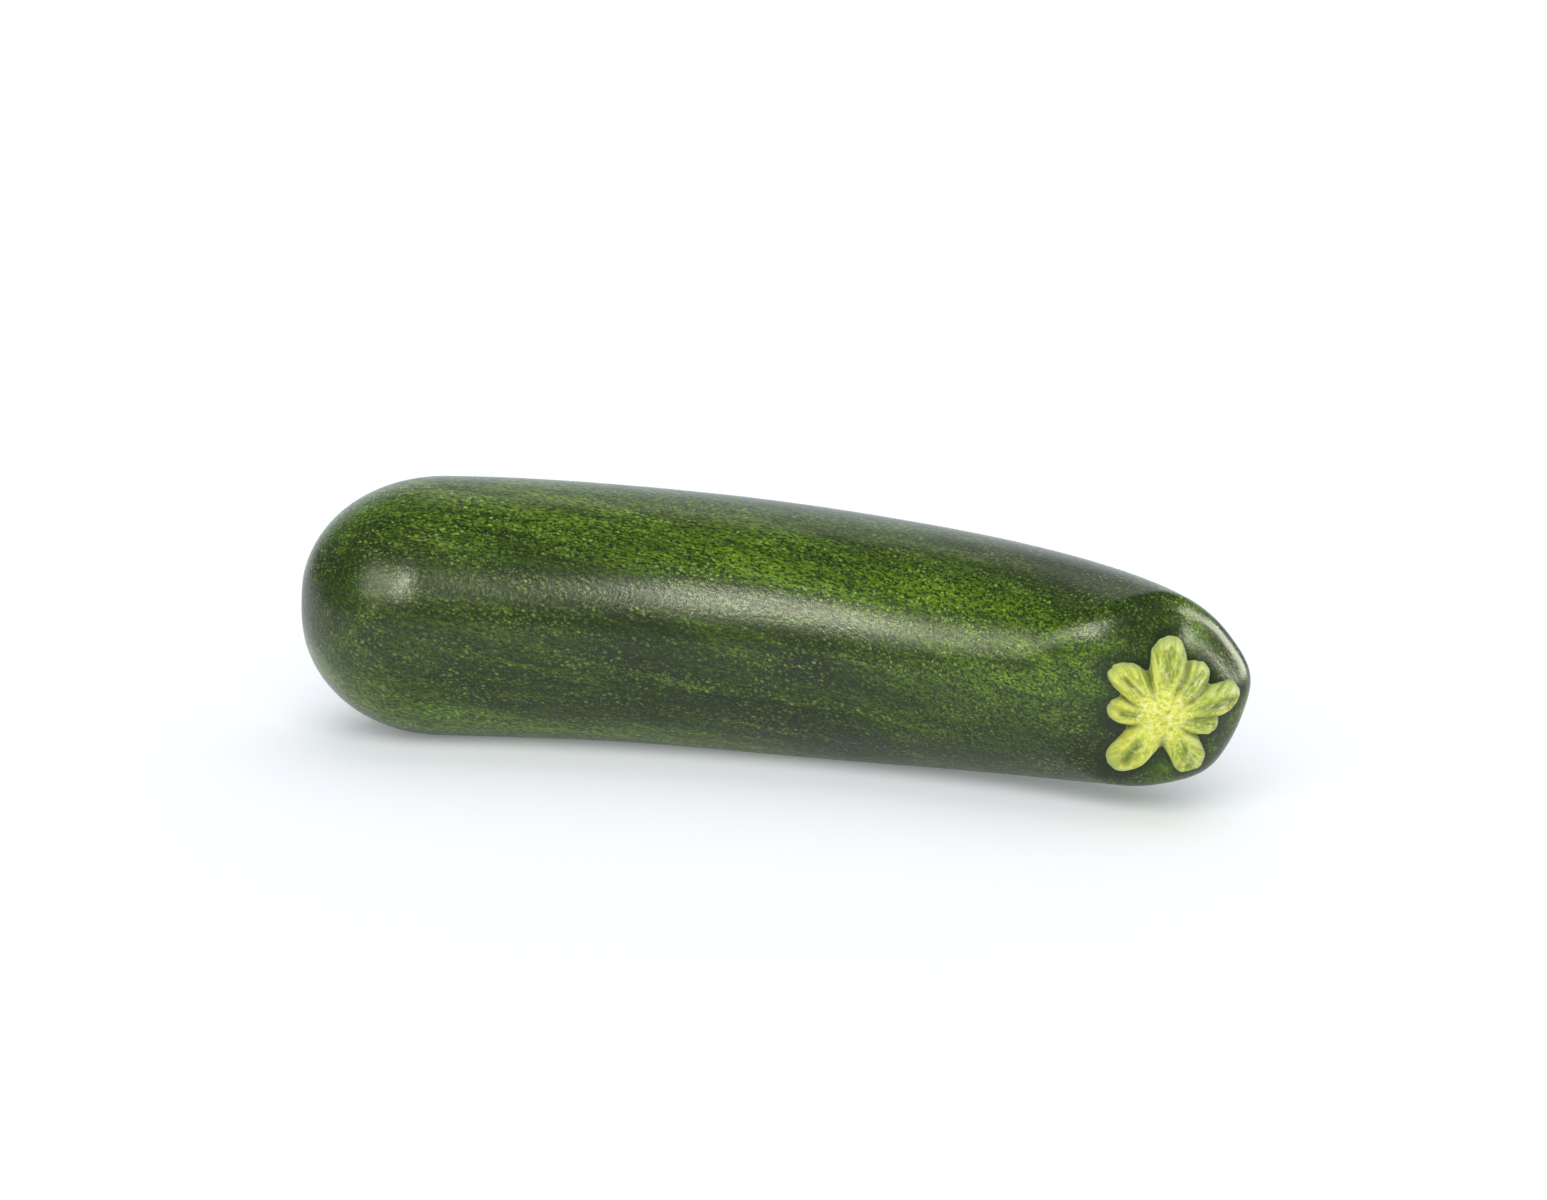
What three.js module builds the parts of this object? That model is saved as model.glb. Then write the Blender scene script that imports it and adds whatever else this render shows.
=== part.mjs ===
// A whole zucchini (courgette), as picked, lying on a flat surface. Millimetres, +Z up.
//
// Two pieces: the fruit, a bent and tapered body with a flower scar at one end, and the stub of the
// stem, a star of rounded lobes that grips the other end.
// The fruit lies along X with the stem at +X, and the stem end hooks round towards -Y.
// The origin is the middle of the bounding box in X and Y, on the surface that the fruit rests on.

import * as THREE from "three";

// ---- Driving dimensions --------------------------------------------------------------------------

const FRUIT_LENGTH = 188; // along the bent centre line
const BODY_RADII = [25.3, 24.8, 22.8, 18.6]; // at the four stations below
const RADIUS_STATIONS = [0.12, 0.4, 0.68, 0.93]; // shares of the length from the flower end
const FLOWER_CAP = { length: 29, power: 2.1 }; // the rounded end that the flower grew on
const STEM_CAP = { length: 9, power: 2.1 }; // the blunter end under the stem
const INNER_CAP = { share: 1.3, side: 185 }; // how much longer its rounding is towards the inner side

const BODY_BEND = 0.62; // radians that the centre line turns over the whole length
const HOOK_BEND = 0.52; // radians more that it turns at the stem end
const HOOK_START = 0.55; // share of the length where the hook begins
const END_TILT = 0.385; // radians that the stem end's rings lean beyond square to the centre line
const TILT_START = 0.65; // share of the length where they begin to lean

const RESTING_FLAT = 0.55; // how far the skin is pressed flat where it rests
const STEM_LIFT = 6; // how far the underside rises at the stem end
const LIFT_START = 0.6; // share of the length where it begins to rise

const FLOWER_SCAR = { radius: 5.2, depth: 0.9 }; // shallow dimple where the flower dropped off

// The stem's lobes: the way each points round the stem, its reach and its half width.
// Angles are in degrees from the horizontal, seen from the stem end, with 90 at the top.
const LOBES = [
  { angle: 134, reach: 11.1, halfWidth: 3.0 },
  { angle: 82, reach: 13.4, halfWidth: 3.3 },
  { angle: 45, reach: 12.2, halfWidth: 2.5 },
  { angle: 9, reach: 15.6, halfWidth: 3.1 },
  { angle: -16, reach: 11.8, halfWidth: 2.2 },
  { angle: -57, reach: 14.6, halfWidth: 3.1 },
  { angle: -116, reach: 13.1, halfWidth: 3.2 },
  { angle: -175, reach: 8.8, halfWidth: 2.8 },
];
const STEM_OFFSET = { across: -2.2, up: -2 }; // of the stem's middle from the middle of the fruit's end
const STEM_CORE_RADIUS = 5.6; // the round middle that the lobes join
const STEM_MIDDLE_HEIGHT = 4.2; // of the cut face above the skin
const STEM_TIP_HEIGHT = 2.4; // of a lobe near its tip
const STEM_GAP = 0.3; // between the stem's underside and the skin

const RIB_HEIGHT = 0.85; // of the ribs that run down the fruit from the wide lobes
const RIB_WIDTH = 0.3; // radians
const RIB_START = 0.66; // share of the length where the ribs begin to show

const MOAT = { radius: 12.5, width: 3, depth: 0.9, side: 50 }; // hollow round the stem, deepest at the side

// ---- Fineness ------------------------------------------------------------------------------------

const FRUIT_RINGS = 54;
const FRUIT_SIDES = 40;
const STEM_RINGS = 9;
const STEM_SIDES = 96;
const CENTRE_LINE_STEPS = 600;

// ---- The fruit's form ----------------------------------------------------------------------------

const radians = THREE.MathUtils.degToRad;
const clamp = THREE.MathUtils.clamp;

// The way the centre line heads at a share t of the length, in radians from +X.
function headingAt(t) {
  const hook = clamp((t - HOOK_START) / (1 - HOOK_START), 0, 1);
  return -(BODY_BEND * (t - 0.5) + HOOK_BEND * hook * hook);
}

// The way the ring of skin at a share t of the length faces, in radians from +X.
function facingAt(t) {
  return headingAt(t) - END_TILT * THREE.MathUtils.smoothstep(t, TILT_START, 1);
}

// The centre line in plan, summed in small steps.
const centreLine = [new THREE.Vector2(0, 0)];
for (let i = 0; i < CENTRE_LINE_STEPS; i++) {
  const heading = headingAt((i + 0.5) / CENTRE_LINE_STEPS);
  const step = new THREE.Vector2(Math.cos(heading), Math.sin(heading));
  centreLine.push(step.multiplyScalar(FRUIT_LENGTH / CENTRE_LINE_STEPS).add(centreLine[i]));
}

function centreAt(t) {
  const place = clamp(t, 0, 1) * CENTRE_LINE_STEPS;
  const i = Math.min(Math.floor(place), CENTRE_LINE_STEPS - 1);
  return centreLine[i].clone().lerp(centreLine[i + 1], place - i);
}

// The radius before the ends are rounded off: the cubic through the four stations.
function bodyRadiusAt(t) {
  return BODY_RADII.reduce((sum, radius, i) => {
    const weight = RADIUS_STATIONS.reduce(
      (product, station, j) =>
        i === j ? product : (product * (t - station)) / (RADIUS_STATIONS[i] - station),
      1,
    );
    return sum + radius * weight;
  }, 0);
}

// How much of the radius is left at a distance from the tip of a rounded end.
function capShare(distance, cap) {
  const inwards = clamp(1 - distance / cap.length, 0, 1);
  return Math.pow(1 - Math.pow(inwards, cap.power), 1 / cap.power);
}

function stemCapAt(angle) {
  const inner = 0.5 + 0.5 * Math.cos(angle - radians(INNER_CAP.side));
  return { ...STEM_CAP, length: STEM_CAP.length * (1 + INNER_CAP.share * Math.pow(inner, 5)) };
}

function radiusAt(t, angle) {
  const fromFlower = t * FRUIT_LENGTH;
  const fromStem = (1 - t) * FRUIT_LENGTH;
  return bodyRadiusAt(t) * capShare(fromFlower, FLOWER_CAP) * capShare(fromStem, stemCapAt(angle));
}

// The share of the length, near the stem end, where the radius at an angle has fallen to a given value.
function shareAtRadius(radius, angle) {
  let low = 1 - stemCapAt(angle).length / FRUIT_LENGTH;
  let high = 1;
  for (let i = 0; i < 40; i++) {
    const middle = (low + high) / 2;
    if (radiusAt(middle, angle) > radius) low = middle;
    else high = middle;
  }
  return (low + high) / 2;
}

// How far the end sinks round the stem, most on its upper right.
function moatAt(radius, angle) {
  const across = Math.exp(-Math.pow((radius - MOAT.radius) / MOAT.width, 2));
  return MOAT.depth * across * (0.1 + 0.9 * Math.max(Math.cos(angle - radians(MOAT.side)), 0));
}

// How far the ribs stand proud of the round body.
function ribAt(t, angle) {
  const strength = clamp((t - RIB_START) / (1 - RIB_START), 0, 1);
  const wideLobes = LOBES.filter((lobe) => lobe.halfWidth > 3.05);
  const ridge = wideLobes.reduce((sum, lobe) => {
    const turn = Math.atan2(Math.sin(angle - radians(lobe.angle)), Math.cos(angle - radians(lobe.angle)));
    return sum + Math.exp(-Math.pow(turn / RIB_WIDTH, 2));
  }, 0);
  return RIB_HEIGHT * strength * strength * (ridge - 0.5);
}

// The height of the centre line: the underside is level, then rises gently to the stem.
function centreHeightAt(t) {
  const rise = clamp((t - LIFT_START) / (1 - LIFT_START), 0, 1);
  return bodyRadiusAt(t) + STEM_LIFT * rise * rise - RESTING_FLAT;
}

// A point on the fruit's skin, before it is pressed flat below.
function skinPoint(t, angle) {
  const centre = centreAt(t);
  const facing = facingAt(t);
  const round = radiusAt(t, angle);
  const radius = round + ribAt(t, angle) * Math.min(1, round / 12);
  const out = radius * Math.cos(angle);
  const scar = FLOWER_SCAR.depth * Math.exp(-Math.pow(round / FLOWER_SCAR.radius, 4));
  const dimple = t < 0.5 ? scar : -moatAt(round, angle);
  return new THREE.Vector3(
    centre.x - Math.sin(facing) * out + Math.cos(facing) * dimple,
    centre.y + Math.cos(facing) * out + Math.sin(facing) * dimple,
    centreHeightAt(t) + radius * Math.sin(angle),
  );
}

// The skin's outward direction, from its slopes along and round the body.
function skinNormal(t, angle) {
  const small = 1e-3;
  const along = skinPoint(t, angle).sub(skinPoint(t - small, angle));
  const round = skinPoint(t, angle + small).sub(skinPoint(t, angle - small));
  return round.cross(along).normalize();
}

// ---- Closed meshes from rings ---------------------------------------------------------------------

// A closed skin over rings of equal length, with a single point closing each end.
function closedSkin(first, rings, last) {
  const sides = rings[0].length;
  const points = [first, ...rings.flat(), last];
  const ringStart = (i) => 1 + i * sides;
  const end = points.length - 1;
  const faces = [];
  for (let j = 0; j < sides; j++) {
    const next = (j + 1) % sides;
    faces.push(0, ringStart(0) + next, ringStart(0) + j);
    for (let i = 0; i < rings.length - 1; i++) {
      const a = ringStart(i) + j;
      const b = ringStart(i) + next;
      const c = ringStart(i + 1) + j;
      const d = ringStart(i + 1) + next;
      faces.push(a, b, d, a, d, c);
    }
    faces.push(end, ringStart(rings.length - 1) + j, ringStart(rings.length - 1) + next);
  }
  const geometry = new THREE.BufferGeometry().setFromPoints(points);
  geometry.setIndex(faces);
  geometry.computeVertexNormals();
  return geometry;
}

function anglesRound(sides) {
  return Array.from({ length: sides }, (_, j) => (j / sides) * Math.PI * 2);
}

// ---- The fruit ------------------------------------------------------------------------------------

function fruitGeometry() {
  const pressFlat = (point) => point.setZ(Math.max(point.z, 0));
  const rings = [];
  for (let i = 1; i < FRUIT_RINGS; i++) {
    // Rings crowd towards both ends, where the skin turns most.
    const even = i / FRUIT_RINGS;
    const t = 0.5 - 0.5 * Math.cos(Math.PI * even) * (1 - 0.12 * Math.sin(Math.PI * even) ** 2);
    rings.push(anglesRound(FRUIT_SIDES).map((angle) => pressFlat(skinPoint(t, angle))));
  }
  return closedSkin(skinPoint(0, 0), rings, skinPoint(1, 0));
}

// ---- The stem -------------------------------------------------------------------------------------

// How far a lobe, a round-ended finger from the centre, reaches in the direction of an angle.
function lobeReach(lobe, angle) {
  const turn = Math.atan2(Math.sin(angle - radians(lobe.angle)), Math.cos(angle - radians(lobe.angle)));
  const side = Math.abs(Math.sin(turn));
  const tipCentre = lobe.reach - lobe.halfWidth;
  if (Math.cos(turn) <= 0) return lobe.halfWidth;
  if (tipCentre * side > lobe.halfWidth * Math.cos(turn)) return lobe.halfWidth / side;
  const halfChord = Math.sqrt(lobe.halfWidth ** 2 - (tipCentre * side) ** 2);
  return tipCentre * Math.cos(turn) + halfChord;
}

// The stem's outline as a radius, with the notches between lobes rounded.
function stemReach(angle) {
  const sharpness = 7;
  const reaches = [STEM_CORE_RADIUS, ...LOBES.map((lobe) => lobeReach(lobe, angle))];
  const sum = reaches.reduce((total, reach) => total + Math.pow(reach, sharpness), 0);
  return Math.pow(sum, 1 / sharpness) * 0.97;
}

// The stem's height above its underside at a distance from its centre, for a given outline radius.
function stemHeight(distance, reach) {
  const share = distance / reach;
  const slope = THREE.MathUtils.smoothstep(distance, STEM_CORE_RADIUS * 0.8, STEM_CORE_RADIUS * 2);
  const top = THREE.MathUtils.lerp(STEM_MIDDLE_HEIGHT, STEM_TIP_HEIGHT, slope);
  return top * Math.pow(1 - Math.pow(share, 5), 0.5);
}

function stemGeometry() {
  const place = (distance, angle, height) => {
    const across = STEM_OFFSET.across + distance * Math.cos(angle);
    const up = STEM_OFFSET.up + distance * Math.sin(angle);
    const turn = Math.atan2(up, across);
    const t = shareAtRadius(Math.hypot(across, up), turn);
    return skinPoint(t, turn).addScaledVector(skinNormal(t, turn), STEM_GAP + height);
  };
  const angles = anglesRound(STEM_SIDES);
  const topRings = [];
  const underRings = [];
  for (let i = 1; i <= STEM_RINGS; i++) {
    const share = Math.sin((i / STEM_RINGS) * (Math.PI / 2));
    topRings.push(
      angles.map((angle) => {
        const reach = stemReach(angle);
        return place(share * reach, angle, Math.max(stemHeight(share * reach, reach), 0.6));
      }),
    );
    underRings.push(angles.map((angle) => place(share * stemReach(angle), angle, 0)));
  }
  const under = place(0, 0, 0);
  const top = place(0, 0, STEM_MIDDLE_HEIGHT);
  return closedSkin(under, [...underRings, ...topRings.reverse()], top);
}

// ---- Materials and assembly -----------------------------------------------------------------------

const skinGreen = new THREE.MeshStandardMaterial({ color: 0x2c4a1c, roughness: 0.4, metalness: 0 });
const stemGreen = new THREE.MeshStandardMaterial({ color: 0xb4c25a, roughness: 0.65, metalness: 0 });

const fruit = new THREE.Mesh(fruitGeometry(), skinGreen);
fruit.name = "fruit";

const stem = new THREE.Mesh(stemGeometry(), stemGreen);
stem.name = "stem";

const zucchini = new THREE.Group();
zucchini.add(fruit, stem);

// Centre the bounding box over the origin, in plan.
const middle = new THREE.Box3().setFromObject(zucchini).getCenter(new THREE.Vector3());
for (const piece of zucchini.children) piece.position.set(-middle.x, -middle.y, 0);

export default zucchini;
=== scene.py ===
"""A zucchini lying on a white table, laid out as a Blender add-on and run as a script.

Two finished pieces stand for the packed solids: the fruit with its skin, and the cut stub of its stem.
The stage is a white table top, soft studio lights and a camera. Everything is in metres.
"""

import math

import bmesh
import bpy
from bpy.props import FloatProperty, FloatVectorProperty, IntProperty, PointerProperty
from bpy.types import Operator, Panel, PropertyGroup
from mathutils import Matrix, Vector, noise


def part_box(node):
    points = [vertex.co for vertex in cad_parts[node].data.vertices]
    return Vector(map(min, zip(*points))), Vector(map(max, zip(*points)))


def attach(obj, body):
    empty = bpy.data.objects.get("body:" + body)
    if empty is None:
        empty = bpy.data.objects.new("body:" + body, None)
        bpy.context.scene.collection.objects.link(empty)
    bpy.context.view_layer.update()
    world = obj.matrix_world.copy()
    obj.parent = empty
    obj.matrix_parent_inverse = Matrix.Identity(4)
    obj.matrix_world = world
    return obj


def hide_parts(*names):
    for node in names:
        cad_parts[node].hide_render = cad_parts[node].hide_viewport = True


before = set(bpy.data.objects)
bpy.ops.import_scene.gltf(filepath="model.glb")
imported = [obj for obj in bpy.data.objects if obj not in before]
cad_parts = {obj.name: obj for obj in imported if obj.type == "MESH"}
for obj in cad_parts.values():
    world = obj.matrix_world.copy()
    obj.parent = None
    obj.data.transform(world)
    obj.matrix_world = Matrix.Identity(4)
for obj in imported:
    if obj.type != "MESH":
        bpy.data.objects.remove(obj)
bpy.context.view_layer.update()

bl_info = {
    "name": "Zucchini",
    "version": (1, 0, 0),
    "blender": (4, 5, 0),
    "location": "3D View > Sidebar > Zucchini",
    "description": "Builds a zucchini with its speckled skin and cut stem, and the table it lies on",
    "category": "Object",
}

MM = 0.001

# The lobes of the stem: the way each points, in degrees round the stem with 90 at the top, then its
# reach and its half width in millimetres.
LOBES = (
    (134, 11.1, 3.0),
    (82, 13.4, 3.3),
    (45, 12.2, 2.5),
    (9, 15.6, 3.1),
    (-16, 11.8, 2.2),
    (-57, 14.6, 3.1),
    (-116, 13.1, 3.2),
    (-175, 8.8, 2.8),
)


# ---- Sizes and colours --------------------------------------------------------------------------


class FruitSizes(PropertyGroup):
    """The fruit's driving sizes, with the packed solid's length, thickness and bends."""

    length: FloatProperty(
        name="Length", description="Along the bent middle line", default=0.188, unit="LENGTH"
    )
    radii: FloatVectorProperty(
        name="Radii",
        description="At 12, 40, 68 and 93 % of the length from the flower end",
        size=4,
        default=(0.0253, 0.0248, 0.0228, 0.0186),
        unit="LENGTH",
    )
    flower_cap: FloatProperty(
        name="Flower end", description="Length of its rounding", default=0.029, unit="LENGTH"
    )
    stem_cap: FloatProperty(
        name="Stem end", description="Length of its rounding", default=0.009, unit="LENGTH"
    )
    bend: FloatProperty(
        name="Bend", description="Even turn over the whole length", default=0.62, unit="ROTATION"
    )
    hook: FloatProperty(
        name="Hook", description="Extra turn at the stem end", default=0.52, unit="ROTATION"
    )
    lean: FloatProperty(
        name="Lean",
        description="How far the stem end leans beyond square to the middle line",
        default=0.385,
        unit="ROTATION",
    )
    lift: FloatProperty(
        name="Lift", description="Rise of the underside at the stem end", default=0.006, unit="LENGTH"
    )
    flat: FloatProperty(
        name="Resting flat",
        description="How far the skin is pressed flat where it rests",
        default=0.00055,
        unit="LENGTH",
    )
    ribs: FloatProperty(
        name="Ribs",
        description="Height of the ribs that run down from the wide lobes",
        default=0.0011,
        unit="LENGTH",
    )
    unevenness: FloatProperty(
        name="Unevenness",
        description="Depth of the soft dents of the skin",
        default=0.0004,
        unit="LENGTH",
    )
    moat: FloatProperty(
        name="Moat", description="Depth of the hollow round the stem", default=0.0009, unit="LENGTH"
    )
    rings: IntProperty(name="Rings", description="Rings of faces along the fruit", default=320)
    sides: IntProperty(name="Sides", description="Faces round the fruit", default=192)


class StemSizes(PropertyGroup):
    """The sizes of the cut stem."""

    core: FloatProperty(
        name="Core", description="Radius of the middle that the lobes join", default=0.0056, unit="LENGTH"
    )
    middle_height: FloatProperty(
        name="Middle height", description="Of the cut face above the skin", default=0.0042, unit="LENGTH"
    )
    tip_height: FloatProperty(
        name="Tip height", description="Of a lobe near its tip", default=0.0024, unit="LENGTH"
    )
    groove: FloatProperty(
        name="Groove", description="Depth of the groove along a lobe", default=0.0005, unit="LENGTH"
    )
    offset: FloatVectorProperty(
        name="Offset",
        description="Of the stem from the middle of the fruit's end, across and up",
        size=2,
        default=(-0.0022, -0.0020),
        unit="LENGTH",
    )
    sunk: FloatProperty(
        name="Root depth",
        description="How far the stem's underside is rooted in the skin",
        default=0.0006,
        unit="LENGTH",
    )
    rings: IntProperty(name="Rings", description="Rings of faces over and under the stem", default=110)
    sides: IntProperty(name="Sides", description="Faces round the stem", default=288)


class SkinColours(PropertyGroup):
    """The colours of the skin."""

    green: FloatVectorProperty(
        name="Green",
        description="Main green of the skin",
        subtype="COLOR",
        size=4,
        default=(0.100, 0.200, 0.001, 1),
    )
    # Used for the darker mottling, and as painted shade away from the lit band and round the stem.
    dark_and_shade: FloatVectorProperty(
        name="Dark green",
        description="Darker mottling of the skin",
        subtype="COLOR",
        size=4,
        default=(0.006, 0.018, 0.0015, 1),
    )
    fleck: FloatVectorProperty(
        name="Flecks",
        description="Pale flecks all over the skin",
        subtype="COLOR",
        size=4,
        default=(0.33, 0.49, 0.07, 1),
    )
    cork: FloatVectorProperty(
        name="Flower scar",
        description="Dry scar where the flower dropped off",
        subtype="COLOR",
        size=4,
        default=(0.30, 0.20, 0.09, 1),
    )


class StemColours(PropertyGroup):
    """The colours of the cut stem."""

    flesh: FloatVectorProperty(
        name="Flesh",
        description="Yellow of the cut middle and the riper lobes",
        subtype="COLOR",
        size=4,
        default=(0.80, 0.82, 0.12, 1),
    )
    lobe: FloatVectorProperty(
        name="Lobes",
        description="Yellow green of the greener lobes",
        subtype="COLOR",
        size=4,
        default=(0.38, 0.50, 0.030, 1),
    )
    # Partly the paler edge of the lobes, partly a painted highlight along their rounded edge.
    rim_and_highlight: FloatVectorProperty(
        name="Rims",
        description="Greyish green of the lobes' rims",
        subtype="COLOR",
        size=4,
        default=(0.46, 0.55, 0.19, 1),
    )
    # Dimmed, this also gives the painted shade in the notches between the lobes.
    spot_and_notch_shade: FloatVectorProperty(
        name="Spots",
        description="Dark green of the spots and grooves",
        subtype="COLOR",
        size=4,
        default=(0.15, 0.22, 0.015, 1),
    )
    pale: FloatVectorProperty(
        name="Pale fibres",
        description="Cream of the palest fibres",
        subtype="COLOR",
        size=4,
        default=(0.86, 0.84, 0.45, 1),
    )


class StageSizes(PropertyGroup):
    """Where the camera stands."""

    azimuth: FloatProperty(
        name="Azimuth",
        description="Round the zucchini, from its -Y side",
        default=math.radians(19.1),
        unit="ROTATION",
    )
    elevation: FloatProperty(
        name="Elevation", description="Above the table", default=math.radians(12), unit="ROTATION"
    )
    distance: FloatProperty(
        name="Distance", description="From the camera's aim", default=0.96, unit="LENGTH"
    )
    lens: FloatProperty(name="Lens", description="Focal length", default=99.2, unit="CAMERA")
    aim: FloatVectorProperty(
        name="Aim",
        description="Point of the table that the camera looks at",
        size=2,
        default=(-0.0461, 0.1335),
        unit="LENGTH",
    )


# ---- The fruit's form ---------------------------------------------------------------------------

# Shares of the length, from the flower end: where the radii are given, and where the hook, the lean,
# the lift and the ribs begin.
RADIUS_STATIONS = (0.12, 0.4, 0.68, 0.93)
HOOK_START = 0.55
LEAN_START = 0.65
LIFT_START = 0.6
RIB_START = 0.66

# The middle line is added up in this many steps.
CENTRE_STEPS = 600

# A power of 2 would round the ends as ellipses: a little more makes them a little blunter.
CAP_POWER = 2.1

# The stem end is rounded off over a greater length towards the inner side of the bend.
INNER_CAP = 1.3
INNER_SIDE = math.radians(185)
INNER_POWER = 5

# The ribs run down from lobes with more than this half width, in millimetres. They are this wide in
# radians, and RIB_REST of their height goes on along the whole body. RIB_MEAN is taken off all round, so
# that the body keeps its thickness.
WIDE_LOBE = 3.05
RIB_WIDTH = 0.3
RIB_REST = 0.12
RIB_MEAN = 0.5

# How many soft dents there are along the fruit, and the fineness of those round it.
DENTS_ALONG = 4.5
DENTS_ROUND = 1.5

# The hollow round the stem is deepest on one side, and has MOAT_REST of that depth on the other.
MOAT_RADIUS = 12.5 * MM
MOAT_WIDTH = 3 * MM
MOAT_SIDE = math.radians(50)
MOAT_REST = 0.1

SCAR_RADIUS = 5.2 * MM
SCAR_DEPTH = 0.9 * MM

# Ribs and dents fade out towards the poles, inside this radius.
FADE_RADIUS = 12 * MM

# How far the skin's pattern winds round the whole length, in radians, and the share of the length
# where it isn't turned. Then the broad paler stripes: the way each faces in degrees, and its width in
# radians. The widest, at 138 degrees on the upper front that faces the front lights, is painted light:
# a lit band, not a pale marking of the skin's own.
PATTERN_TWIST = 1.1
PATTERN_CENTRE = 0.6
STRIPES_AND_LIT_BAND = ((138, 0.5), (48, 0.25), (-28, 0.3), (-100, 0.28))

# The flower scar is on the skin before the first share of the length, the painted shade round the stem
# after the second.
SCAR_END = 0.1
PAINTED_STEM_SHADE_START = 0.85

SKIN_MASKS = ("scar", "stripe_and_lit_band", "painted_stem_shade")


def smoothstep(low, high, value):
    """0 up to low, 1 from high on, and a smooth rise between."""
    share = min(max((value - low) / (high - low), 0), 1)
    return share * share * (3 - 2 * share)


def turn_between(angle, other):
    """The turn from one angle to another, between minus and plus half a turn."""
    return math.remainder(angle - other, math.tau)


class FruitForm:
    """The fruit's skin as a formula: a point for each share of the length and each angle round it."""

    def __init__(self, sizes):
        self.sizes = sizes
        self.length = sizes.length
        self.radii = tuple(sizes.radii)
        self.centres = [Vector((0, 0))]
        step = self.length / CENTRE_STEPS
        for i in range(CENTRE_STEPS):
            heading = self.heading((i + 0.5) / CENTRE_STEPS)
            self.centres.append(self.centres[-1] + step * Vector((math.cos(heading), math.sin(heading))))

    def heading(self, t):
        """The way the middle line heads, from +X."""
        hook = max(t - HOOK_START, 0) / (1 - HOOK_START)
        return -(self.sizes.bend * (t - 0.5) + self.sizes.hook * hook * hook)

    def facing(self, t):
        """The way the ring of skin faces, from +X."""
        return self.heading(t) - self.sizes.lean * smoothstep(LEAN_START, 1, t)

    def centre(self, t):
        """The middle line in plan."""
        place = min(max(t, 0), 1) * CENTRE_STEPS
        i = min(int(place), CENTRE_STEPS - 1)
        return self.centres[i].lerp(self.centres[i + 1], place - i)

    def body_radius(self, t):
        """The radius before the ends are rounded: the cubic through the four stations."""
        total = 0
        for radius, station in zip(self.radii, RADIUS_STATIONS):
            for other in RADIUS_STATIONS:
                if other != station:
                    radius *= (t - other) / (station - other)
            total += radius
        return total

    def stem_cap(self, angle):
        """The length of the stem end's rounding: longer on the inner side of the bend."""
        inner = 0.5 + 0.5 * math.cos(angle - INNER_SIDE)
        return self.sizes.stem_cap * (1 + INNER_CAP * inner**INNER_POWER)

    def radius(self, t, angle):
        """The radius with both ends rounded off."""
        radius = self.body_radius(t)
        ends = (
            (t * self.length, self.sizes.flower_cap),
            ((1 - t) * self.length, self.stem_cap(angle)),
        )
        for distance, cap in ends:
            if distance < cap:
                radius *= (1 - (1 - distance / cap) ** CAP_POWER) ** (1 / CAP_POWER)
        return radius

    def share_at(self, radius, angle):
        """The share of the length, near the stem end, where the radius has fallen to this."""
        cap = self.stem_cap(angle) / self.length
        t = 1
        # The body's radius hardly changes over the rounding, so a few rounds settle it.
        for _ in range(4):
            inwards = (1 - (radius / self.body_radius(t)) ** CAP_POWER) ** (1 / CAP_POWER)
            t = 1 - cap * (1 - inwards)
        return t

    def ribs(self, t, angle):
        """How far the ribs below the wide lobes stand proud."""
        strength = max(t - RIB_START, 0) / (1 - RIB_START)
        ridge = sum(
            math.exp(-((turn_between(angle, math.radians(way)) / RIB_WIDTH) ** 2))
            for way, _, half_width in LOBES
            if half_width > WIDE_LOBE
        )
        return self.sizes.ribs * max(strength**2, RIB_REST) * (ridge - RIB_MEAN)

    def dents(self, t, angle):
        """Soft dents, long along the fruit."""
        place = Vector((t * DENTS_ALONG, DENTS_ROUND * math.cos(angle), DENTS_ROUND * math.sin(angle)))
        return self.sizes.unevenness * noise.noise(place)

    def moat(self, radius, angle):
        """How far the end sinks round the stem, most on its upper right."""
        across = math.exp(-(((radius - MOAT_RADIUS) / MOAT_WIDTH) ** 2))
        side = MOAT_REST + (1 - MOAT_REST) * max(math.cos(angle - MOAT_SIDE), 0)
        return self.sizes.moat * across * side

    def height(self, t):
        """The height of the middle line: the underside is level, then rises to the stem."""
        rise = max(t - LIFT_START, 0) / (1 - LIFT_START)
        return self.body_radius(t) + self.sizes.lift * rise * rise - self.sizes.flat

    def point(self, t, angle):
        """The point of the skin, before it is pressed flat and moved to the frame's place."""
        centre = self.centre(t)
        facing = self.facing(t)
        round_radius = self.radius(t, angle)
        fade = min(1, round_radius / FADE_RADIUS)
        radius = round_radius + fade * (self.ribs(t, angle) + self.dents(t, angle))
        side = radius * math.cos(angle)
        if t < 0.5:
            dimple = SCAR_DEPTH * math.exp(-((round_radius / SCAR_RADIUS) ** 4))
        else:
            dimple = -self.moat(round_radius, angle)
        return Vector((
            centre.x - math.sin(facing) * side + math.cos(facing) * dimple,
            centre.y + math.cos(facing) * side + math.sin(facing) * dimple,
            self.height(t) + radius * math.sin(angle),
        ))

    def normal(self, t, angle):
        """The way the skin faces at a point near the stem end."""
        small = 1e-3
        along = self.point(t, angle) - self.point(t - small, angle)
        around = self.point(t, angle + small) - self.point(t, angle - small)
        return around.cross(along).normalized()

    def pattern_angle(self, t, angle):
        """The angle at which the skin's pattern is drawn, so that it winds round the fruit."""
        return angle - PATTERN_TWIST * (t - PATTERN_CENTRE)

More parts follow.
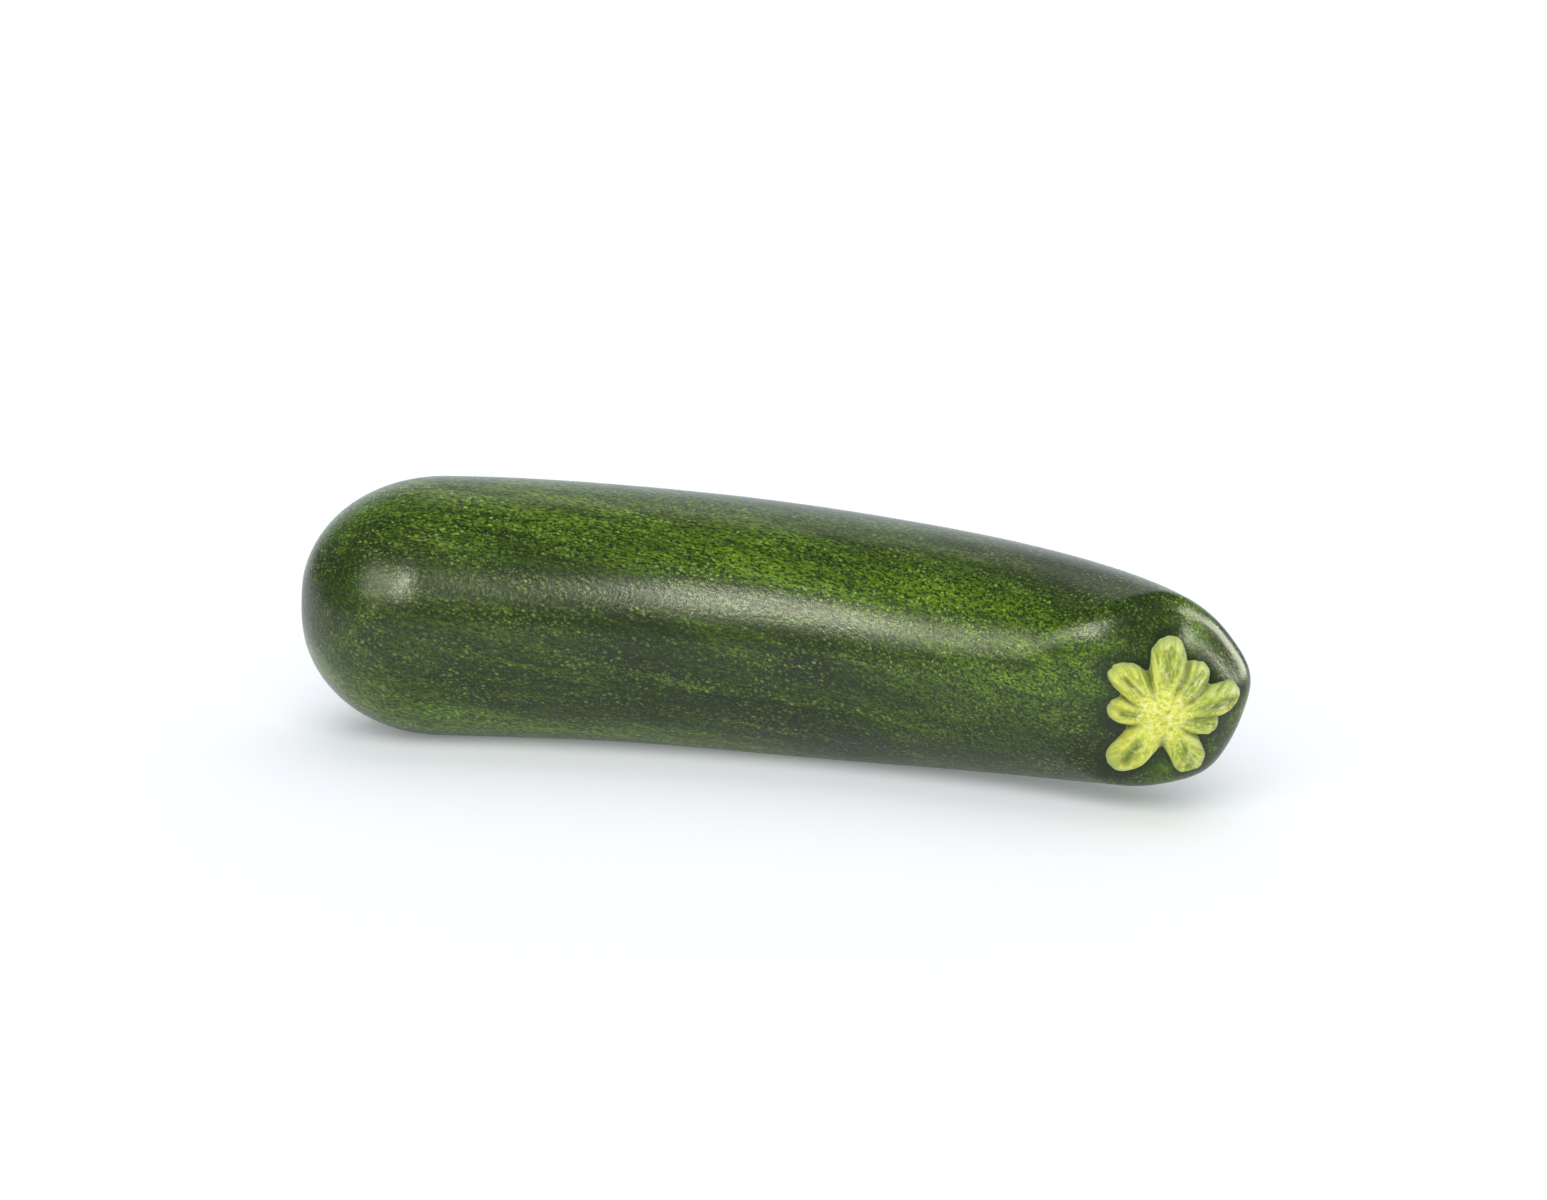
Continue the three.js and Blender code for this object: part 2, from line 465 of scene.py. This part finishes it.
    def stripe_and_lit_band(self, t, angle):
        """1 in the middle of the paler stripes and of the painted lit band, falling to 0 beside them."""
        turned = self.pattern_angle(t, angle)
        return max(
            math.exp(-((turn_between(turned, math.radians(way)) / width) ** 2)) for way, width in STRIPES_AND_LIT_BAND
        )

    def scar(self, t, angle):
        """1 on the dry scar of the flower, with a wavy edge, and 0 beyond it."""
        if t >= SCAR_END:
            return 0
        edge = SCAR_RADIUS * (0.82 + 0.1 * math.sin(5 * angle))
        return 1 - smoothstep(0.85, 1.1, self.radius(t, angle) / edge)


def frame_shift(form):
    """The move in plan from the formula's place, with the flower end at the origin, to the frame's."""
    shares = [i / 400 for i in range(401)]
    edges = [form.point(t, angle) for t in shares for angle in (0, math.pi)]
    low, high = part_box("fruit")
    middle_x = (min(p.x for p in edges) + max(p.x for p in edges)) / 2
    middle_y = (min(p.y for p in edges) + max(p.y for p in edges)) / 2
    return Vector(((low.x + high.x) / 2 - middle_x, (low.y + high.y) / 2 - middle_y, 0))


# ---- The stem's form ----------------------------------------------------------------------------

# How sharply the lobes part, in outline and in height: higher is sharper.
NOTCH_SHARPNESS = 7
TOP_SHARPNESS = 9

# Where lobes overlap, the outline comes out a little too wide: this takes it in.
OUTLINE_FIT = 0.99

# The outline is ragged by this share of its reach, with about this many bumps to a radian.
RAGGED_SHARE = 0.05
RAGGED_FINENESS = 9

# The low dome that the lobes join: its share of the middle's height, and of the core's radius.
DOME_SHARE = 0.72
DOME_REACH = 1.15

# Higher powers give a lobe a flatter back, and the stem a sharper edge.
LOBE_SQUARENESS = 2.6
EDGE_POWER = 5

LEAST_HEIGHT = 0.6 * MM
ROUGH_HEIGHT = 0.24 * MM

# The skin round the stem is given painted shade, fading from the first of these distances to the second,
# outwards from the stem.
PAINTED_STEM_SHADE_NEAR = 0.2 * MM
PAINTED_STEM_SHADE_FAR = 3.2 * MM

# The fibres run outwards: their pattern is drawn round this radius and drawn out along the lobes.
FIBRE_RADIUS = 8 * MM
FIBRE_STRETCH = 0.8

STEM_MASKS = ("middle", "groove", "rim_and_highlight", "painted_notch_shade", "ripe")


def smooth_largest(lengths, sharpness):
    """The largest of some lengths, and a little more where others come near it."""
    return sum((length / MM) ** sharpness for length in lengths) ** (1 / sharpness) * MM


class StemForm:
    """The cut stem as heights over its outline, a star of rounded lobes."""

    def __init__(self, sizes):
        self.sizes = sizes
        self.lobes = [
            (math.radians(way), reach * MM, half_width * MM) for way, reach, half_width in LOBES
        ]

    def lobe_reach(self, lobe, angle):
        """How far a round-ended lobe reaches in the direction of an angle."""
        way, reach, half_width = lobe
        turn = turn_between(angle, way)
        side = abs(math.sin(turn))
        tip_centre = reach - half_width
        if math.cos(turn) <= 0:
            return half_width
        if tip_centre * side > half_width * math.cos(turn):
            return half_width / side
        return tip_centre * math.cos(turn) + math.sqrt(half_width**2 - (tip_centre * side) ** 2)

    def reach(self, angle):
        """The outline as a radius, a little ragged, with the notches between lobes rounded."""
        reaches = [self.sizes.core] + [self.lobe_reach(lobe, angle) for lobe in self.lobes]
        way = Vector((math.cos(angle), math.sin(angle), 0))
        ragged = 1 + RAGGED_SHARE * noise.noise(way * RAGGED_FINENESS)
        return smooth_largest(reaches, NOTCH_SHARPNESS) * OUTLINE_FIT * ragged

    def across_lobe(self, lobe, x, y):
        """(distance from the lobe's middle line over its half width, share of the way to its tip)."""
        way, reach, half_width = lobe
        along = x * math.cos(way) + y * math.sin(way)
        aside = -x * math.sin(way) + y * math.cos(way)
        tip_centre = reach - half_width
        past_tip = max(along - tip_centre, 0)
        return math.hypot(aside, past_tip) / half_width, along / reach

    def smooth_height(self, x, y):
        """The height of the lobes and of the low dome that they join."""
        dome = max(1 - (math.hypot(x, y) / (self.sizes.core * DOME_REACH)) ** 4, 0) ** 0.5
        heights = [DOME_SHARE * self.sizes.middle_height * dome]
        for lobe in self.lobes:
            across, along = self.across_lobe(lobe, x, y)
            if along < 0 or across >= 1:
                continue
            slope = smoothstep(0.3, 0.9, along)
            top = self.sizes.middle_height * (1 - slope) + self.sizes.tip_height * slope
            heights.append(top * (1 - across**LOBE_SQUARENESS) ** 0.5)
        return smooth_largest(heights, TOP_SHARPNESS)

    def painted_notch_shade(self, x, y):
        """Painted shade in the notches: 1 along the line between two lobes, falling to 0 on the lobes
        and in the middle.
        """
        nearest = sorted(
            across for across, along in (self.across_lobe(lobe, x, y) for lobe in self.lobes) if along > 0
        )
        if len(nearest) < 2:
            return 0
        between = math.exp(-(((nearest[1] - nearest[0]) / 0.3) ** 2))
        between = max(between, smoothstep(0.85, 1.15, nearest[0]))
        return between * smoothstep(2 * MM, 5.5 * MM, math.hypot(x, y))

    def groove(self, x, y):
        """1 in the middle of a lobe's groove, falling to 0 at its sides."""
        deepest = 0
        for lobe in self.lobes:
            across, along = self.across_lobe(lobe, x, y)
            window = smoothstep(0.25, 0.5, along) * (1 - smoothstep(0.75, 0.92, along))
            deepest = max(deepest, window * math.exp(-((across / 0.3) ** 2)))
        return deepest

    def height(self, x, y, share, upper):
        """The height above the skin. share is how far out the point lies, with 1 on the outline."""
        low = -self.sizes.sunk * 0.5 * share**EDGE_POWER
        if not upper:
            return -self.sizes.sunk * (1 - share**EDGE_POWER) + low
        edge = max(1 - share**EDGE_POWER, 0) ** 0.5
        rough = noise.noise(Vector((x, y, 0)) * 900) + 0.6 * noise.noise(Vector((x, y, 9)) * 2200)
        face = max(self.smooth_height(x, y), LEAST_HEIGHT) - self.groove(x, y) * self.sizes.groove
        return edge * (face + ROUGH_HEIGHT * rough) + low

    def marks(self, x, y, share):
        """How strongly each of STEM_MASKS shows at a point."""
        return (
            1 - smoothstep(0.5, 1.3, math.hypot(x, y) / self.sizes.core),
            self.groove(x, y),
            smoothstep(0.8, 0.97, share),
            self.painted_notch_shade(x, y),
            smoothstep(-4 * MM, 6 * MM, -(0.9 * x + 0.4 * y)),
        )

    def painted_stem_shade(self, across, up):
        """Painted shade on the skin round the stem: 1 beside the stem, falling to 0 away from it."""
        x = across - self.sizes.offset[0]
        y = up - self.sizes.offset[1]
        beyond = math.hypot(x, y) - self.reach(math.atan2(y, x))
        return 1 - smoothstep(PAINTED_STEM_SHADE_NEAR, PAINTED_STEM_SHADE_FAR, beyond)


# ---- Materials ----------------------------------------------------------------------------------


class Finish:
    """A material, and short ways to add and join its nodes."""

    def __init__(self, name):
        self.material = bpy.data.materials.new(name)
        self.material.use_nodes = True
        self.tree = self.material.node_tree
        self.surface = self.tree.nodes["Principled BSDF"]

    def set(self, socket, value):
        """Joins a socket to another, or sets its value."""
        if isinstance(value, bpy.types.NodeSocket):
            self.tree.links.new(value, socket)
        else:
            socket.default_value = value

    def node(self, kind, inputs, **settings):
        """A new node with its settings, and its inputs by name or number."""
        node = self.tree.nodes.new(kind)
        for name, value in settings.items():
            setattr(node, name, value)
        for name, value in inputs.items():
            self.set(node.inputs[name], value)
        return node

    def attribute(self, name):
        """A number that each vertex carries."""
        return self.node("ShaderNodeAttribute", {}, attribute_name=name).outputs["Fac"]

    def place(self, name):
        """A place that each vertex carries."""
        return self.node("ShaderNodeAttribute", {}, attribute_name=name).outputs["Vector"]

    def stretched(self, place, scale):
        """A place scaled along each axis: less than 1 draws a pattern out."""
        return self.node("ShaderNodeMapping", {"Vector": place, "Scale": scale}).outputs[0]

    def noise(self, place, scale, detail=2, roughness=0.5):
        """Soft noise from 0 to 1."""
        inputs = {"Vector": place, "Scale": scale, "Detail": detail, "Roughness": roughness}
        return self.node("ShaderNodeTexNoise", inputs).outputs[0]

    def cells(self, place, scale):
        """Scattered points: the distance to the nearest, and a colour for each."""
        return self.node("ShaderNodeTexVoronoi", {"Vector": place, "Scale": scale}).outputs

    def ramp(self, value, low, high, start=0, end=1):
        """value from low to high becomes start to end, smoothly, and no further."""
        inputs = {0: value, 1: low, 2: high, 3: start, 4: end}
        return self.node("ShaderNodeMapRange", inputs, interpolation_type="SMOOTHSTEP").outputs[0]

    def first_channel(self, colour):
        """The first of the three numbers of a colour."""
        return self.node("ShaderNodeSeparateXYZ", {0: colour}).outputs[0]

    def maths(self, operation, first, second):
        """Two numbers made one."""
        return self.node("ShaderNodeMath", {0: first, 1: second}, operation=operation).outputs[0]

    def blend(self, share, first, second):
        """One number turning into another."""
        return self.node("ShaderNodeMapRange", {0: share, 3: first, 4: second}).outputs[0]

    def mix(self, share, first, second):
        """One colour turning into another."""
        inputs = {0: share, 6: first, 7: second}
        return self.node("ShaderNodeMix", inputs, data_type="RGBA").outputs[2]

    def bump(self, height, distance, strength, onto=None):
        """The surface's normal with a height added, over another bump or over the bare surface."""
        inputs = {"Height": height, "Distance": distance, "Strength": strength}
        if onto is not None:
            inputs["Normal"] = onto
        return self.node("ShaderNodeBump", inputs).outputs[0]


def dimmed(colour, share):
    """A colour with a share of its brightness."""
    red, green, blue, alpha = colour
    return red * share, green * share, blue * share, alpha


# The flecks, in three sizes: the scale of their cells, the distances from a cell's point at which a
# fleck begins and is full, and its strength.
FLECK_LAYERS = (
    (2300, 0.5, 0.2, 0.55),
    (1250, 0.42, 0.16, 0.8),
    (560, 0.2, 0.1, 1.0),
)


def fleck_strength(skin, place, stripe_and_lit_band):
    """Where the pale flecks show: in all of the skin, closer together in the stripes and the painted lit
    band, fewer in the painted shade beside them.
    """
    spots = 0
    for scale, outer, inner, strength in FLECK_LAYERS:
        cells = skin.cells(skin.stretched(place, (0.6, 1, 1)), scale)
        round_spots = skin.ramp(cells["Distance"], outer, inner, 0, strength)
        round_spots = skin.maths("MULTIPLY", round_spots, skin.first_channel(cells["Color"]))
        spots = skin.maths("MAXIMUM", round_spots, spots)
    patches = skin.noise(skin.stretched(place, (0.2, 1, 1)), 240, 2)
    crowding = skin.maths("MULTIPLY", skin.ramp(patches, 0.3, 0.7, 0.3, 1), skin.ramp(stripe_and_lit_band, 0, 1, 0.62, 1))
    return skin.maths("MULTIPLY", spots, crowding)


def skin_finish():
    """Dark green skin: soft mottling along the fruit, dense pale flecks, a waxy gloss.

    A lit band on the upper front, and shade away from it and round the stem, are painted into the colour.
    """
    colours = bpy.context.scene.zucchini_skin
    green, dark_and_shade, fleck, cork = (tuple(c) for c in (colours.green, colours.dark_and_shade, colours.fleck, colours.cork))
    skin = Finish("zucchini_skin")
    place = skin.place("straightened")
    scar, stripe_and_lit_band, painted_stem_shade = (skin.attribute(name) for name in SKIN_MASKS)

    mottle = skin.noise(skin.stretched(place, (0.4, 1, 1)), 55, 3, 0.6)
    streaks = skin.noise(skin.stretched(place, (0.09, 1, 1)), 430, 4, 0.7)
    grain = skin.noise(skin.stretched(place, (0.3, 1, 1)), 2500, 2, 0.7)
    # Away from the stripes and the lit band the skin is given painted shade, most of all on the lower front,
    # mixed with the real mottling.
    shade = skin.maths("ADD", skin.maths("MULTIPLY", stripe_and_lit_band, -0.7), skin.ramp(mottle, 0.35, 0.7, 0.6, 1.0))
    base = skin.mix(skin.ramp(shade, 0.0, 1.0, 0.0, 0.96), green, dark_and_shade)
    base = skin.mix(skin.ramp(streaks, 0.42, 0.64, 0.0, 0.66), base, dark_and_shade)
    base = skin.mix(skin.ramp(streaks, 0.44, 0.3, 0.0, 0.2), base, fleck)
    base = skin.mix(skin.ramp(grain, 0.44, 0.58, 0.0, 0.92), base, dark_and_shade)

    flecks = fleck_strength(skin, place, stripe_and_lit_band)
    base = skin.mix(flecks, base, fleck)
    # Painted shade on the skin beside the stem.
    base = skin.mix(skin.maths("MULTIPLY", painted_stem_shade, 0.8), base, dark_and_shade)

    crust = skin.noise(place, 900, 4, 0.7)
    base = skin.mix(scar, base, skin.mix(skin.ramp(crust, 0.4, 0.65), cork, dimmed(cork, 0.3)))
    skin.set(skin.surface.inputs["Base Color"], base)

    rough = skin.ramp(grain, 0.3, 0.7, 0.22, 0.30)
    rough = skin.maths("MAXIMUM", rough, skin.maths("MULTIPLY", scar, 0.85))
    skin.set(skin.surface.inputs["Roughness"], rough)
    skin.surface.inputs["Specular IOR Level"].default_value = 0.45
    pores = skin.bump(skin.noise(place, 1100, 3), 0.00012, 0.4)
    skin.set(skin.surface.inputs["Normal"], skin.bump(flecks, 0.00006, 0.6, pores))
    return skin.material


def stem_finish():
    """Cut stem: pale fibrous flesh in the middle, yellow green lobes with greyish rims that are partly a
    painted highlight, and painted shade in the notches.
    """
    colours = bpy.context.scene.zucchini_stem_colours
    flesh, lobe, rim_and_highlight_colour, spot_and_notch_shade, pale = (
        tuple(c) for c in (colours.flesh, colours.lobe, colours.rim_and_highlight, colours.spot_and_notch_shade, colours.pale)
    )
    stem = Finish("zucchini_stem")
    place = stem.place("stem_place")
    fibres = stem.place("fibre_place")
    middle, groove, rim_and_highlight, painted_notch_shade, ripe = (stem.attribute(name) for name in STEM_MASKS)

    blotches = stem.noise(fibres, 520, 3, 0.65)
    speckle = stem.blend(middle, stem.noise(fibres, 1300, 4, 0.75), stem.noise(place, 1500, 3, 0.7))
    base = stem.mix(ripe, lobe, flesh)
    base = stem.mix(stem.ramp(blotches, 0.35, 0.6, 0.0, 0.65), base, flesh)
    base = stem.mix(middle, base, flesh)

    green_share = stem.ramp(speckle, 0.47, 0.62, 0, 0.7)
    green_share = stem.maths("MULTIPLY", green_share, stem.ramp(middle, 0, 1, 1, 0.75))
    green_share = stem.maths("MULTIPLY", green_share, stem.ramp(ripe, 0, 1, 1, 0.6))
    base = stem.mix(green_share, base, spot_and_notch_shade)
    groove_share = stem.maths("MULTIPLY", groove, stem.ramp(blotches, 0.36, 0.56, 0.2, 1))
    base = stem.mix(groove_share, base, spot_and_notch_shade)
    pale_share = stem.maths("MULTIPLY", stem.ramp(speckle, 0.5, 0.36), stem.ramp(middle, 0, 1, 0.5, 0.8))
    base = stem.mix(pale_share, base, pale)
    # Greyish edges of the lobes: partly their paler skin, partly a painted highlight.
    base = stem.mix(stem.maths("MULTIPLY", rim_and_highlight, 0.7), base, rim_and_highlight_colour)
    # Painted shade in the notches between the lobes.
    base = stem.mix(stem.maths("MULTIPLY", painted_notch_shade, 0.8), base, dimmed(spot_and_notch_shade, 0.5))
    stem.set(stem.surface.inputs["Base Color"], base)

    stem.surface.inputs["Roughness"].default_value = 0.55
    stem.surface.inputs["Specular IOR Level"].default_value = 0.4
    roughened = stem.noise(place, 1400, 3, 0.6)
    stem.set(stem.surface.inputs["Normal"], stem.bump(roughened, 0.0003, 0.8))
    return stem.material


def table_finish():
    """White and matt, with a faint glow that keeps its far parts as bright as the wall."""
    white = Finish("table_white")
    white.surface.inputs["Base Color"].default_value = (0.86, 0.87, 0.89, 1)
    white.surface.inputs["Emission Color"].default_value = (0.90, 0.94, 1, 1)
    white.surface.inputs["Emission Strength"].default_value = 0.215
    white.surface.inputs["Roughness"].default_value = 0.9
    white.surface.inputs["Specular IOR Level"].default_value = 0.1
    return white.material


# ---- The pieces ---------------------------------------------------------------------------------


def ball(rings, sides):
    """A round ball to be shaped, one metre in radius."""
    shape = bmesh.new()
    bmesh.ops.create_uvsphere(shape, u_segments=sides, v_segments=rings, radius=1)
    return shape


def mesh_object(name, shape, material):
    """Makes an object of a shape, in the scene."""
    mesh = bpy.data.meshes.new(name)
    shape.to_mesh(mesh)
    shape.free()
    mesh.materials.append(material)
    piece = bpy.data.objects.new(name, mesh)
    bpy.context.scene.collection.objects.link(piece)
    return piece


def finish_piece(name, shape, material, node):
    """Makes a smooth piece of a shape, and gives it its place in the packed frame."""
    for face in shape.faces:
        face.smooth = True
    piece = mesh_object(name, shape, material)
    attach(piece, "root")
    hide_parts(node)


class ZUCCHINI_OT_build_fruit(Operator):
    """Shape a ball into the bent, ribbed fruit and give it its skin"""

    bl_idname = "zucchini.build_fruit"
    bl_label = "Build the fruit"

    def execute(self, context):
        sizes = context.scene.zucchini_fruit
        form = FruitForm(sizes)
        stem = StemForm(context.scene.zucchini_stem)
        shape = ball(sizes.rings, sizes.sides)
        layers = shape.verts.layers
        straightened = layers.float_vector.new("straightened")
        scar, stripe_and_lit_band, painted_stem_shade = (layers.float.new(name) for name in SKIN_MASKS)
        for vertex in shape.verts:
            t = (1 + vertex.co.z) / 2
            angle = math.atan2(vertex.co.y, vertex.co.x)
            vertex.co = form.point(t, angle)
            vertex.co.z = max(vertex.co.z, 0)
            radius = form.radius(t, angle)
            turned = form.pattern_angle(t, angle)
            vertex[straightened] = (t * form.length, radius * math.cos(turned), radius * math.sin(turned))
            vertex[scar] = form.scar(t, angle)
            vertex[stripe_and_lit_band] = form.stripe_and_lit_band(t, angle)
            if t > PAINTED_STEM_SHADE_START:
                vertex[painted_stem_shade] = stem.painted_stem_shade(radius * math.cos(angle), radius * math.sin(angle))
        bmesh.ops.translate(shape, vec=frame_shift(form), verts=shape.verts)
        finish_piece("fruit_skin", shape, skin_finish(), "fruit")
        return {"FINISHED"}


class ZUCCHINI_OT_build_stem(Operator):
    """Shape a ball into the star of lobes on the fruit's end"""

    bl_idname = "zucchini.build_stem"
    bl_label = "Build the stem"

    def execute(self, context):
        fruit = FruitForm(context.scene.zucchini_fruit)
        sizes = context.scene.zucchini_stem
        form = StemForm(sizes)
        shape = ball(sizes.rings, sizes.sides)
        layers = shape.verts.layers
        stem_place = layers.float_vector.new("stem_place")
        fibre_place = layers.float_vector.new("fibre_place")
        masks = [layers.float.new(name) for name in STEM_MASKS]
        for vertex in shape.verts:
            share = math.hypot(vertex.co.x, vertex.co.y)
            angle = math.atan2(vertex.co.y, vertex.co.x)
            distance = share * form.reach(angle)
            x = distance * math.cos(angle)
            y = distance * math.sin(angle)
            height = form.height(x, y, share, vertex.co.z > 1e-6)
            vertex[stem_place] = (x, y, height)
            vertex[fibre_place] = (
                FIBRE_RADIUS * math.cos(angle),
                FIBRE_RADIUS * math.sin(angle),
                FIBRE_STRETCH * distance + height,
            )
            for mask, strength in zip(masks, form.marks(x, y, share)):
                vertex[mask] = strength
            x += sizes.offset[0]
            y += sizes.offset[1]
            turn = math.atan2(y, x)
            t = fruit.share_at(math.hypot(x, y), turn)
            vertex.co = fruit.point(t, turn) + height * fruit.normal(t, turn)
        bmesh.ops.translate(shape, vec=frame_shift(fruit), verts=shape.verts)
        finish_piece("stem_stub", shape, stem_finish(), "stem")
        return {"FINISHED"}


# ---- The stage ----------------------------------------------------------------------------------

# The broad lights: the way to each in degrees, to the right of the camera and up, then its strength and
# its width in degrees.
BROAD_LIGHTS = (
    ("key_light", 165, 62, 0.9, 65),
    ("fill_light", -10, 42, 2.1, 60),
)

# The softboxes, which only show as highlights: the way to each in degrees, to the right of the camera
# and up, then its width and height, and its brightness.
SOFTBOXES = (
    ("strip_light", -38, 29, (0.05, 0.38), 68),
    ("side_light", -58, 25, (0.42, 0.46), 4.5),
    ("rim_light", 66, 42, (0.9, 0.4), 10),
    ("top_light", -170, 53, (0.30, 0.25), 1.2),
    ("end_light", 96, 18, (0.8, 0.7), 12),
)
SOFTBOX_DISTANCE = 1.2
SOFTBOX_COLOUR = (1, 0.99, 0.82)
SOFTBOX_AIM = Vector((0, 0, 0.02))

TABLE_HALF_WIDTH = 12
FAR_CLIP = 100

# The bright wall: the way to its middle in degrees, then, as cosines of the angle from there, where its
# brightness begins to rise and where it is full.
WALL_WAY = (180, 8)
WALL_COSINES = (0.7, 0.98)
WALL_BRIGHTNESS = (0.22, 1.1)
STUDIO_COLOUR = (0.88, 0.94, 1, 1)


def aim_at(piece, target):
    """Turns a lamp or the camera to look at a point."""
    piece.rotation_euler = (target - piece.location).to_track_quat("-Z", "Y").to_euler()


def direction(azimuth, elevation):
    """A direction from the zucchini, with azimuths from its -Y side round towards +X."""
    return Vector((
        math.sin(azimuth) * math.cos(elevation),
        -math.cos(azimuth) * math.cos(elevation),
        math.sin(elevation),
    ))


def from_camera_side(sizes, azimuth, elevation):
    """A direction from the zucchini in degrees, turned to the right from the camera's side."""
    return direction(sizes.azimuth + math.radians(azimuth), math.radians(elevation))


def add_softbox(sizes, name, azimuth, elevation, size, brightness):
    """A soft rectangular light. brightness is the radiance of its face."""
    lamp = bpy.data.lights.new(name, "AREA")
    lamp.shape = "RECTANGLE"
    lamp.size, lamp.size_y = size
    lamp.energy = brightness * math.pi * size[0] * size[1]
    lamp.color = SOFTBOX_COLOUR
    softbox = bpy.data.objects.new(name, lamp)
    softbox.visible_diffuse = False
    softbox.location = SOFTBOX_DISTANCE * from_camera_side(sizes, azimuth, elevation)
    aim_at(softbox, SOFTBOX_AIM)
    bpy.context.scene.collection.objects.link(softbox)


def add_broad_light(sizes, name, azimuth, elevation, strength, width):
    """A broad light, the same over the whole table, that doesn't show as a highlight."""
    lamp = bpy.data.lights.new(name, "SUN")
    lamp.energy = strength
    lamp.angle = math.radians(width)
    sun = bpy.data.objects.new(name, lamp)
    sun.location = from_camera_side(sizes, azimuth, elevation)
    aim_at(sun, Vector((0, 0, 0)))
    sun.visible_glossy = False
    bpy.context.scene.collection.objects.link(sun)


def studio_sky(sizes):
    """A bright wall behind the zucchini, and a dim studio over and before it."""
    world = bpy.data.worlds.new("studio")
    world.use_nodes = True
    tree = world.node_tree
    background = tree.nodes["Background"]
    background.inputs["Color"].default_value = STUDIO_COLOUR
    sky_direction = tree.nodes.new("ShaderNodeTexCoord").outputs["Generated"]
    facing = tree.nodes.new("ShaderNodeVectorMath")
    facing.operation = "DOT_PRODUCT"
    facing.inputs[1].default_value = from_camera_side(sizes, *WALL_WAY)
    tree.links.new(sky_direction, facing.inputs[0])
    wall = tree.nodes.new("ShaderNodeMapRange")
    wall.interpolation_type = "SMOOTHSTEP"
    wall.inputs["From Min"].default_value, wall.inputs["From Max"].default_value = WALL_COSINES
    wall.inputs["To Min"].default_value, wall.inputs["To Max"].default_value = WALL_BRIGHTNESS
    tree.links.new(facing.outputs["Value"], wall.inputs["Value"])
    tree.links.new(wall.outputs[0], background.inputs["Strength"])
    return world


def add_camera(sizes):
    """The camera, aimed at its point of the table."""
    camera_data = bpy.data.cameras.new("camera")
    camera_data.lens = sizes.lens
    camera_data.sensor_width = 36
    camera_data.clip_end = FAR_CLIP
    camera = bpy.data.objects.new("camera", camera_data)
    aim = Vector((sizes.aim[0], sizes.aim[1], 0))
    camera.location = aim + sizes.distance * direction(sizes.azimuth, sizes.elevation)
    aim_at(camera, aim)
    bpy.context.scene.collection.objects.link(camera)
    return camera


class ZUCCHINI_OT_build_stage(Operator):
    """Lay out the white table, the lights and the camera"""

    bl_idname = "zucchini.build_stage"
    bl_label = "Build the stage"

    def execute(self, context):
        scene = context.scene
        sizes = scene.zucchini_stage
        scene.view_settings.view_transform = "Standard"

        table = bmesh.new()
        bmesh.ops.create_grid(table, x_segments=1, y_segments=1, size=TABLE_HALF_WIDTH)
        mesh_object("table_top", table, table_finish())

        scene.world = studio_sky(sizes)
        for light in BROAD_LIGHTS:
            add_broad_light(sizes, *light)
        for light in SOFTBOXES:
            add_softbox(sizes, *light)
        scene.camera = add_camera(sizes)
        return {"FINISHED"}


# ---- The panel and the run ----------------------------------------------------------------------

GROUPS = (
    ("zucchini_fruit", FruitSizes),
    ("zucchini_stem", StemSizes),
    ("zucchini_skin", SkinColours),
    ("zucchini_stem_colours", StemColours),
    ("zucchini_stage", StageSizes),
)
OPERATORS = (ZUCCHINI_OT_build_fruit, ZUCCHINI_OT_build_stem, ZUCCHINI_OT_build_stage)


class ZUCCHINI_PT_panel(Panel):
    """The zucchini's sizes and colours, and the steps that build it"""

    bl_idname = "ZUCCHINI_PT_panel"
    bl_label = "Zucchini"
    bl_space_type = "VIEW_3D"
    bl_region_type = "UI"
    bl_category = "Zucchini"

    def draw(self, context):
        for name, group in GROUPS:
            box = self.layout.box()
            box.label(text=group.__doc__)
            for value in group.__annotations__:
                box.prop(getattr(context.scene, name), value)
        for operator in OPERATORS:
            self.layout.operator(operator.bl_idname)


def register():
    for _, group in GROUPS:
        bpy.utils.register_class(group)
    for cls in (*OPERATORS, ZUCCHINI_PT_panel):
        bpy.utils.register_class(cls)
    for name, group in GROUPS:
        setattr(bpy.types.Scene, name, PointerProperty(type=group))


def unregister():
    for name, _ in GROUPS:
        delattr(bpy.types.Scene, name)
    for cls in (ZUCCHINI_PT_panel, *OPERATORS):
        bpy.utils.unregister_class(cls)
    for _, group in GROUPS:
        bpy.utils.unregister_class(group)


def main():
    register()
    bpy.ops.zucchini.build_fruit()
    bpy.ops.zucchini.build_stem()
    bpy.ops.zucchini.build_stage()


if __name__ == "__main__":
    main()
